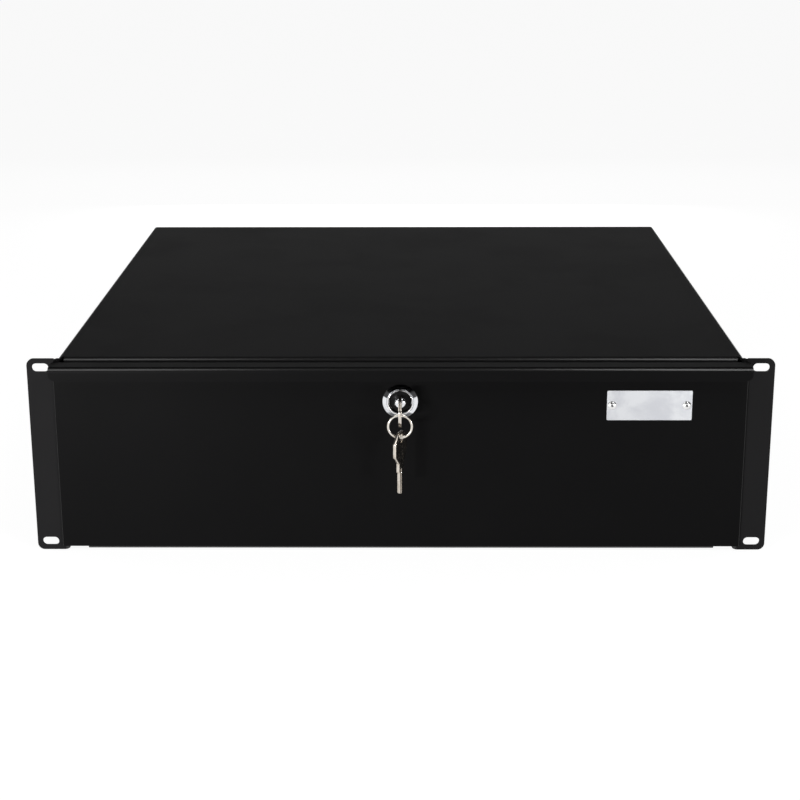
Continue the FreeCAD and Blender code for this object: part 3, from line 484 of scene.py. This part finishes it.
def make_active(piece):
    start_piece()
    piece.select_set(True)
    bpy.context.view_layer.objects.active = piece


def edit_all(piece):
    """Go to edit mode with the whole of a piece selected."""
    make_active(piece)
    bpy.ops.object.mode_set(mode="EDIT")
    bpy.ops.mesh.select_all(action="SELECT")


def pick(piece, kind, test):
    """Go to edit mode with just the faces or edges picked that pass a test."""
    make_active(piece)
    bpy.ops.object.mode_set(mode="EDIT")
    bpy.ops.mesh.select_mode(type=kind)
    bpy.ops.mesh.select_all(action="DESELECT")
    bpy.ops.object.mode_set(mode="OBJECT")
    mesh = piece.data
    if kind == "FACE":
        for face in mesh.polygons:
            face.select = bool(test(face.center, face.normal))
    else:
        for edge in mesh.edges:
            ends = [mesh.vertices[index].co for index in edge.vertices]
            edge.select = bool(test(*ends))
    bpy.ops.object.mode_set(mode="EDIT")


def apply_modifier(piece, kind, **values):
    make_active(piece)
    modifier = piece.modifiers.new(kind.lower(), kind)
    for name, value in values.items():
        setattr(modifier, name, value)
    bpy.ops.object.modifier_apply(modifier=modifier.name)


def place_mesh(piece, matrix=None):
    """Move a piece's mesh, not its object, so that the object stays at the origin."""
    object_mode()
    bpy.context.view_layer.update()
    piece.data.transform((matrix or Matrix()) @ piece.matrix_world)
    piece.matrix_world = Matrix()


def place_copies(model, name, matrices):
    """Join a copy of a model at each place, each with its own mesh. The model itself goes."""
    copies = []
    for matrix in matrices:
        twin = model.copy()
        twin.data = model.data.copy()
        bpy.context.scene.collection.objects.link(twin)
        place_mesh(twin, matrix)
        copies.append(twin)
    bpy.data.objects.remove(model)
    start_piece()
    for twin in copies:
        twin.select_set(True)
    bpy.context.view_layer.objects.active = copies[0]
    if len(copies) > 1:
        bpy.ops.object.join()
    joined = bpy.context.object
    joined.name = joined.data.name = name
    return joined


def finish_piece(piece, slot, body, *replaced, smooth_angle=35):
    """Shade a piece, give it its finish, hang it on its body and hide the frame pieces it stands for."""
    edit_all(piece)
    bpy.ops.mesh.normals_make_consistent(inside=False)
    bpy.ops.object.mode_set(mode="OBJECT")
    bpy.ops.object.shade_smooth_by_angle(angle=math.radians(smooth_angle))
    piece.data.materials.clear()
    piece.data.materials.append(finishes[slot])
    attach(piece, body)
    if replaced:
        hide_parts(*replaced)
    print(piece.name, len(piece.data.polygons), "faces on", body)


# %% [markdown]
# ### Pan-head screws with a cross recess
# A pan head is a low drum with a rounded rim. The driver's recess is a cross that gets narrower towards
# its bottom. The drum starts as a cylinder whose top rim is bevelled, its shank is extruded from its
# underside, and two tapered blades cut the cross into its top. One screw is modelled for each set, and
# each place gets a copy. No two screws of a set stop at the same turn.

# %% Model one pan-head screw
HEAD_HEIGHT = 2.4 * MM
RIM_ROUNDING = 0.55              # share of the head's height
SHANK_SHARE = 0.5                # of the head's radius
RECESS_DEPTH = 1.5 * MM
RECESS_LENGTH, RECESS_WIDTH = 1.05, 0.22     # shares of the head's radius
RECESS_TAPER = (0.45, 0.6, 1)    # the recess's bottom against its top
BLADE_STANDS_OUT = 0.1 * MM


def pan_screw(head_radius, length):
    """A screw standing on the origin: its head above, its shank below."""
    start_piece()
    bpy.ops.mesh.primitive_cylinder_add(vertices=32, radius=head_radius, depth=HEAD_HEIGHT,
                                        location=(0, 0, HEAD_HEIGHT / 2))
    screw = bpy.context.object
    place_mesh(screw)
    pick(screw, "EDGE", lambda a, b: min(a.z, b.z) > 0.99 * HEAD_HEIGHT)
    bpy.ops.mesh.bevel(offset=RIM_ROUNDING * HEAD_HEIGHT, segments=5, profile=0.55)
    pick(screw, "FACE", lambda centre, normal: normal.z < -0.9)
    bpy.ops.mesh.inset(thickness=head_radius * (1 - SHANK_SHARE))
    bpy.ops.mesh.extrude_region_move(TRANSFORM_OT_translate={"value": (0, 0, -length)})
    for turn in (0, math.pi / 2):
        start_piece()
        middle = HEAD_HEIGHT - (RECESS_DEPTH - BLADE_STANDS_OUT) / 2
        bpy.ops.mesh.primitive_cube_add(size=1, location=(0, 0, middle))
        blade = bpy.context.object
        blade.scale = (RECESS_LENGTH * head_radius, RECESS_WIDTH * head_radius,
                       RECESS_DEPTH + BLADE_STANDS_OUT)
        place_mesh(blade)
        pick(blade, "FACE", lambda centre, normal: normal.z < -0.9)
        bpy.ops.transform.resize(value=RECESS_TAPER)
        place_mesh(blade, Matrix.Rotation(turn, 4, "Z"))
        apply_modifier(screw, "BOOLEAN", operation="DIFFERENCE", object=blade, solver="EXACT")
        bpy.data.objects.remove(blade)
    return screw


# %% [markdown]
# Each screw of a set takes its place from the box of the plain screw that it stands for. The housing's
# screws come in from outside, the tray's from inside the tray, and the cam's from behind.

# %% Put the screws in their places
FIRST_TURN, NEXT_TURN = 17, 41   # degrees


def set_of_screws(node, slot, body, heading):
    """Replace each screw of a set. The heading says which way a head points, from its screw's middle."""
    boxes = separate_boxes(node)
    size = boxes[0][1] - boxes[0][0]
    extent = abs(size.dot(heading(boxes[0][0])))
    places = []
    for number, (low, high) in enumerate(boxes):
        middle = (low + high) / 2
        direction = heading(middle)
        seat = middle + direction * (extent / 2 - HEAD_HEIGHT)
        turn = Vector((0, 0, 1)).rotation_difference(direction).to_matrix().to_4x4()
        spin = Matrix.Rotation(math.radians(FIRST_TURN + NEXT_TURN * number), 4, "Z")
        places.append(Matrix.Translation(seat) @ turn @ spin)
    model = pan_screw(size.z / 2, extent - HEAD_HEIGHT)
    finish_piece(place_copies(model, node + "_recessed", places), slot, body, node)


def outward(middle):
    return Vector((math.copysign(1, middle.x), 0, 0))


set_of_screws("housing_slide_screws", "black_fasteners", "housing", outward)
set_of_screws("tray_slide_screws", "zinc_fasteners", "drawer", lambda middle: -outward(middle))
set_of_screws("cam_screw", "zinc_fasteners", "lock_plug", lambda middle: Vector((0, 1, 0)))

# %% [markdown]
# ### Broken stems inside the nameplate's rivets
# A blind rivet is set by pulling a steel stem until it breaks off inside the head. The stub sits just
# below the rim, dark and a little ragged. It is a short cylinder whose end face is inset and pushed
# in, then roughened by moving the vertices there in and out. The second rivet gets a copy.

# %% Rivet stubs
STUB_SUNK = 0.30 * MM
STUB_RADIUS = 0.86 * MM
STUB_LENGTH = 0.55 * MM
STUB_RIM_SHARE = 0.3             # of the stub's radius
STUB_DISH = 0.12 * MM
STUB_RAGGED = 0.05 * MM


def rivet_stub():
    """A stub for a rivet whose mouth is at the origin and faces the front."""
    start_piece()
    bpy.ops.mesh.primitive_cylinder_add(vertices=14, radius=STUB_RADIUS, depth=STUB_LENGTH,
                                        rotation=(math.pi / 2, 0, 0),
                                        location=(0, STUB_SUNK + STUB_LENGTH / 2, 0))
    stub = bpy.context.object
    place_mesh(stub)
    pick(stub, "FACE", lambda centre, normal: normal.y < -0.9)
    bpy.ops.mesh.inset(thickness=STUB_RIM_SHARE * STUB_RADIUS, depth=-STUB_DISH)
    bpy.ops.object.mode_set(mode="OBJECT")
    behind_end = STUB_SUNK + STUB_LENGTH / 2
    end = [vertex for vertex in stub.data.vertices if vertex.co.y < behind_end]
    for number, vertex in enumerate(end):
        vertex.co.y += STUB_RAGGED * math.sin(2.4 * number)
    return stub


mouths = [Matrix.Translation(((low.x + high.x) / 2, low.y, (low.z + high.z) / 2))
          for low, high in separate_boxes("nameplate_rivets")]
finish_piece(place_copies(rivet_stub(), "rivet_stubs", mouths), "black_fasteners", "drawer")

# %% [markdown]
# ### The split key ring
# A key ring is spring wire wound into two flat turns that lie one on the other. The wire's section is a
# small rounded shape. A Screw modifier sweeps it through two turns while it moves one wire's thickness
# along the ring's axis for each turn, which is just how such a ring is wound. Its cut ends are closed.

# %% Wind the ring
TURNS = 2
STEPS_IN_A_TURN = 72
RISE_OF_A_TURN = 0.995           # of the wire's thickness, so that the turns touch
ENDS_POINT = math.radians(200)

ring_low, ring_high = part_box("key_ring")
ring_centre = (ring_low + ring_high) / 2
ring_outer = (ring_high.x - ring_low.x) / 2
wire_width = ring_high.y - ring_low.y
leaf = wire_width / (TURNS + 1)

start_piece()
bpy.ops.mesh.primitive_circle_add(vertices=12, radius=wire_width / 2, fill_type="NGON",
                                  rotation=(math.pi / 2, 0, 0))
ring = bpy.context.object
ring.name = "split_ring"
ring.scale = (1, leaf / wire_width, 1)
place_mesh(ring)
ring.data.transform(Matrix.Translation((ring_outer - wire_width / 2, 0, -TURNS * leaf / 2)))
pick(ring, "FACE", lambda centre, normal: True)
bpy.ops.mesh.delete(type="ONLY_FACE")
apply_modifier(ring, "SCREW", angle=TURNS * 2 * math.pi, screw_offset=TURNS * leaf * RISE_OF_A_TURN,
               steps=TURNS * STEPS_IN_A_TURN, render_steps=TURNS * STEPS_IN_A_TURN, axis="Z")
edit_all(ring)
bpy.ops.mesh.fill_holes(sides=0)
place_mesh(ring, Matrix.Translation(ring_centre) @ Matrix.Rotation(math.pi / 2, 4, "X")
           @ Matrix.Rotation(ENDS_POINT, 4, "Z"))
finish_piece(ring, "ring_nickel", "key_ring", "key_ring", smooth_angle=50)

# %% [markdown]
# ### Two stamped keys
# A key is stamped from plated brass strip, so the press rounds its edges, and each face of its bow is
# struck with a sunk panel below the hole. The frame's own key gives the outline. Its copy is merged,
# two bisects mark off the panel's part of the bow, the faces there are inset and pushed in, and a bevel
# then rounds each sharp edge. The key's length is its longest edge, and its bow is its wider end.

# %% Model the keys
KEY_BOW_SHARE = 0.40             # of the key's length
KEY_HOLE_SHARE = 0.19
KEY_RIM = 1.4 * MM
KEY_PANEL_DEPTH = 0.22 * MM
KEY_ROUNDING = 0.16 * MM


def stamped_key(node, body):
    start_piece()
    piece = bpy.data.objects.new(node + "_stamped", frame["nodes"][node].data.copy())
    bpy.context.scene.collection.objects.link(piece)
    make_active(piece)
    bpy.ops.mesh.customdata_custom_splitnormals_clear()
    edit_all(piece)
    bpy.ops.mesh.remove_doubles(threshold=MERGE_DISTANCE)
    bpy.ops.mesh.dissolve_limited(angle_limit=math.radians(1))
    bpy.ops.object.mode_set(mode="OBJECT")
    mesh = piece.data
    flat = max(mesh.polygons, key=lambda face: face.area).normal.copy()
    spans = [mesh.vertices[edge.vertices[0]].co - mesh.vertices[edge.vertices[1]].co
             for edge in mesh.edges]
    along = max(spans, key=lambda span: span.length).normalized()
    across = flat.cross(along)
    reach = [vertex.co.dot(along) for vertex in mesh.vertices]
    width = [vertex.co.dot(across) for vertex in mesh.vertices]
    low, high = min(reach), max(reach)
    widest = reach[width.index(max(width))]
    if widest - low < high - widest:
        along = -along
        low, high = -high, -low
    panel_low = high - KEY_BOW_SHARE * (high - low)
    panel_high = high - KEY_HOLE_SHARE * (high - low)
    edit_all(piece)
    bpy.ops.mesh.bisect(plane_co=along * panel_low, plane_no=along)
    bpy.ops.mesh.select_all(action="SELECT")
    bpy.ops.mesh.bisect(plane_co=along * panel_high, plane_no=along)
    for side in (1, -1):
        pick(piece, "FACE", lambda centre, normal: normal.dot(flat) * side > 0.99
             and panel_low < centre.dot(along) < panel_high)
        bpy.ops.mesh.inset(thickness=KEY_RIM, depth=-KEY_PANEL_DEPTH, use_boundary=True)
    apply_modifier(piece, "BEVEL", width=KEY_ROUNDING, segments=2, limit_method="ANGLE",
                   angle_limit=math.radians(40))
    finish_piece(piece, "key_nickel", body, node)


stamped_key("key", "key")
stamped_key("spare_key", "spare_key")

# %% [markdown]
# ## Floor, lamps and camera
# A pale floor carries the drawer's soft shadow. It glows for the camera and for reflections only, which
# makes it white without putting more light on the drawer.

# %% Floor
FLOOR_SIZE = 40
FLOOR_GREY = 0.20
FLOOR_GLOW = 0.93
FLOOR_GAP = 0.2 * MM


def seen_by(tree, *rays):
    """1 for these kinds of ray, and 0 for all others."""
    path = add(tree, "LightPath")
    seen = path.outputs[f"Is {rays[0]} Ray"]
    for ray in rays[1:]:
        seen = calculate(tree, "MAXIMUM", seen, path.outputs[f"Is {ray} Ray"])
    return seen


def pale_floor(height):
    bpy.ops.mesh.primitive_plane_add(size=FLOOR_SIZE, location=(0, 0, height))
    floor = bpy.context.object
    floor.name = "floor"
    tree, shader, _ = start_material("pale_floor", Roughness=0.9, Specular_IOR_Level=0.0)
    shader.inputs["Base Color"].default_value = (FLOOR_GREY, FLOOR_GREY, FLOOR_GREY, 1)
    glow = add(tree, "Emission")
    glow.inputs["Color"].default_value = (FLOOR_GLOW, FLOOR_GLOW, FLOOR_GLOW, 1)
    feed(tree, seen_by(tree, "Camera", "Glossy", "Transmission"), glow.inputs["Strength"])
    both = add(tree, "AddShader")
    feed(tree, shader.outputs[0], both.inputs[0])
    feed(tree, glow.outputs[0], both.inputs[1])
    feed(tree, both.outputs[0], tree.nodes["Material Output"].inputs["Surface"])
    floor.data.materials.append(finishes["pale_floor"])
    print("floor at z =", round(height, 5))


start_piece()
pale_floor(underside - FLOOR_GAP)

# %% [markdown]
# Two low lamps in front give the light that fades across the panel, and two high ones the thin bright
# lines along the bends. A wide lamp far behind is mirrored in the top plate at a flat angle. Lamps on
# both sides and one behind light the walls that face away from the front. The room itself is dim. It
# turns white for the camera and through clear things only, since the top plate would mirror it.

# %% Lamps and world
ROOM_DIM, ROOM_WHITE = 0.07, 1.0
LAMPS = {                        # place, width and height in metres, power in watts, aim
    "low_left_lamp": ((-0.46, -0.95, -0.03), (0.24, 0.06), 6.6, (-0.26, 0.0, 0.03)),
    "left_lamp": ((-0.72, -0.80, 0.26), (0.25, 0.25), 0.8, (-0.15, 0.0, 0.05)),
    "high_left_lamp": ((-0.37, -0.51, 0.744), (0.25, 0.60), 1.2, (-0.15, 0.0, 0.10)),
    "low_right_lamp": ((0.62, -0.80, -0.03), (0.20, 0.06), 2.2, (0.28, 0.0, 0.03)),
    "high_right_lamp": ((0.37, -0.51, 0.744), (0.25, 0.60), 1.9, (0.12, 0.0, 0.10)),
    "left_side_lamp": ((-1.0, 0.28, 0.14), (0.50, 0.24), 2.4, (-0.22, 0.20, 0.0)),
    "right_side_lamp": ((1.0, 0.28, 0.14), (0.50, 0.24), 2.4, (0.22, 0.20, 0.0)),
    "rear_lamp": ((0.0, 1.15, 0.0), (0.60, 0.09), 2.4, (0.0, 0.40, 0.0)),
    "back_lamp": ((0.0, 1.444, 0.36), (1.5, 0.36), 1.05, (0.0, 0.0, 0.06)),
}

for name, (place, size, power, aim) in LAMPS.items():
    data = bpy.data.lights.new(name, "AREA")
    data.shape = "RECTANGLE"
    data.size, data.size_y = size
    data.energy = power
    lamp = bpy.data.objects.new(name, data)
    lamp.location = place
    lamp.rotation_euler = (Vector(aim) - Vector(place)).to_track_quat("-Z", "Y").to_euler()
    lamp.visible_camera = False
    bpy.context.scene.collection.objects.link(lamp)

world = bpy.data.worlds.new("dim_room")
world.use_nodes = True
room = world.node_tree
background = room.nodes["Background"]
background.inputs["Color"].default_value = (1, 1, 1, 1)
strength = between(room, seen_by(room, "Camera", "Transmission"), ROOM_DIM, ROOM_WHITE)
feed(room, strength, background.inputs["Strength"])
bpy.context.scene.world = world
print(len(LAMPS), "lamps")

# %% [markdown]
# The camera stands in front, at a little over a third of a metre above the drawer's middle, and looks
# down by fifteen degrees. A small downward shift of its lens sets the drawer in the frame.

# %% Camera
PITCH, ROLL, YAW = math.radians(14.96), math.radians(-0.14), math.radians(0.44)

camera_data = bpy.data.cameras.new("camera")
camera_data.sensor_width = 36
camera_data.lens = 70.46
camera_data.shift_y = -0.12516
camera = bpy.data.objects.new("camera", camera_data)
camera.location = (0.0074, -0.9651, 0.3630)
turn = (Matrix.Rotation(YAW, 3, "Z") @ Matrix.Rotation(math.pi / 2 - PITCH, 3, "X")
        @ Matrix.Rotation(ROLL, 3, "Z"))
camera.rotation_euler = turn.to_euler()
bpy.context.scene.collection.objects.link(camera)
bpy.context.scene.camera = camera
bpy.context.scene.view_settings.view_transform = "Standard"
print("camera at", camera.location[:], "with a lens of", camera_data.lens, "mm")
